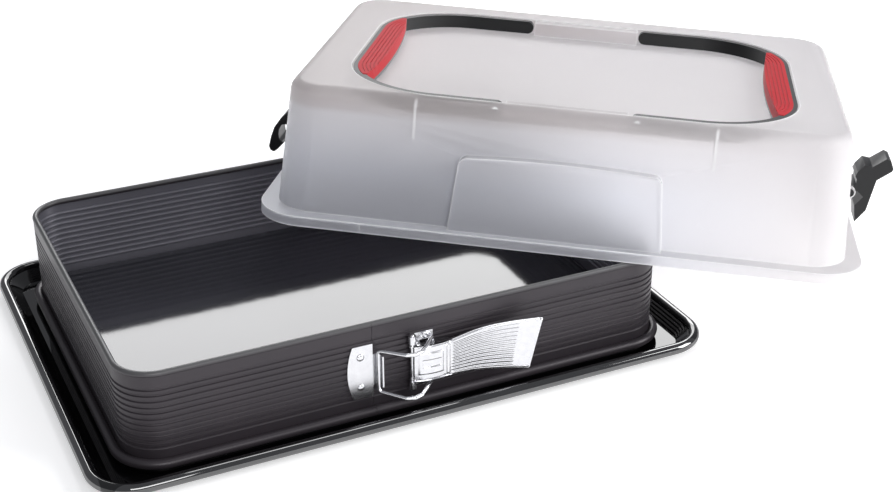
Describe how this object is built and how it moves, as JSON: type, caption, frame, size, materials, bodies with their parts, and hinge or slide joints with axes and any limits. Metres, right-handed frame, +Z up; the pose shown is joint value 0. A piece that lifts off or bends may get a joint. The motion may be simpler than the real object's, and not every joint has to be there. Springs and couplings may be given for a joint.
{
  "type": "baking pan with lid",
  "caption": "Oblong springform baking pan: rimmed tray, ribbed side ring with a lever clasp, and a tall carrying hood with folding handles and end clips.",
  "frame": {"origin": "in the flat underside of the tray's front channel, on its middle line", "axes": "+Z up, -Y towards the clasp, X along the tray's long side with the lever towards +X"},
  "size_m": [0.6382, 0.4441, 0.1697],
  "materials": {
    "enamel": "high gloss enamel",
    "nonstick": "satin non-stick coat",
    "plated_steel": "bright plated",
    "frosted_plastic": "frosted",
    "black_plastic": "satin",
    "red_grip": "soft touch"
  },
  "bodies": {
    "tray": {"base_tray": "enamel"},
    "ring": {"side_ring": "nonstick", "seam_strip": "nonstick", "catch_plate": "plated_steel", "catch_rivets": "plated_steel", "anchor_bracket": "plated_steel", "anchor_rivets": "plated_steel", "lever_pivot_pin": "plated_steel"},
    "lever": {"clasp_lever": "plated_steel"},
    "bail": {"wire_bail": "plated_steel"},
    "hood": {"hood_shell": "frosted_plastic"},
    "handle_left": {"handle_frame_left": "black_plastic", "handle_grip_left": "red_grip"},
    "handle_right": {"handle_frame_right": "black_plastic", "handle_grip_right": "red_grip"},
    "clip_left": {"clip_left": "black_plastic", "clip_pin_left": "black_plastic"},
    "clip_right": {"clip_right": "black_plastic", "clip_pin_right": "black_plastic"}
  },
  "joints": [
    {"name": "ring_lift", "type": "slide", "parent": "tray", "child": "ring", "axis": [0, 0, 1], "range_m": [0, 0.1]},
    {"name": "lever_swing", "type": "hinge", "parent": "ring", "child": "lever", "pos_m": [-0.0036, 0, 0.0355], "axis": [0, 0, -1], "range_deg": [0, 140]},
    {"name": "bail_swing", "type": "hinge", "parent": "lever", "child": "bail", "pos_m": [0.0104, 0.0007, 0.0355], "axis": [0, 0, 1], "range_deg": [0, 126]},
    {"name": "hood_lift", "type": "slide", "parent": "ring", "child": "hood", "axis": [0, 0, 1], "range_m": [0, 0.15]},
    {"name": "handle_left_fold", "type": "hinge", "parent": "hood", "child": "handle_left", "pos_m": [0.16099, 0.18207, 0.14789], "axis": [0.5506, 0.8303, -0.0862], "range_deg": [0, 100]},
    {"name": "handle_right_fold", "type": "hinge", "parent": "hood", "child": "handle_right", "pos_m": [0.23703, 0.13119, 0.14343], "axis": [-0.5506, -0.8303, 0.0862], "range_deg": [0, 100]},
    {"name": "clip_left_swing", "type": "hinge", "parent": "hood", "child": "clip_left", "pos_m": [0.02497, 0.26591, 0.08665], "axis": [0.5506, 0.8303, -0.0862], "range_deg": [-15, 25]},
    {"name": "clip_right_swing", "type": "hinge", "parent": "hood", "child": "clip_right", "pos_m": [0.36083, 0.04116, 0.06695], "axis": [-0.5506, -0.8303, 0.0862], "range_deg": [-6, 55]}
  ],
  "couplings": [
    {"joint": "bail_swing", "follows": "lever_swing", "ratio": 0.9}
  ]
}
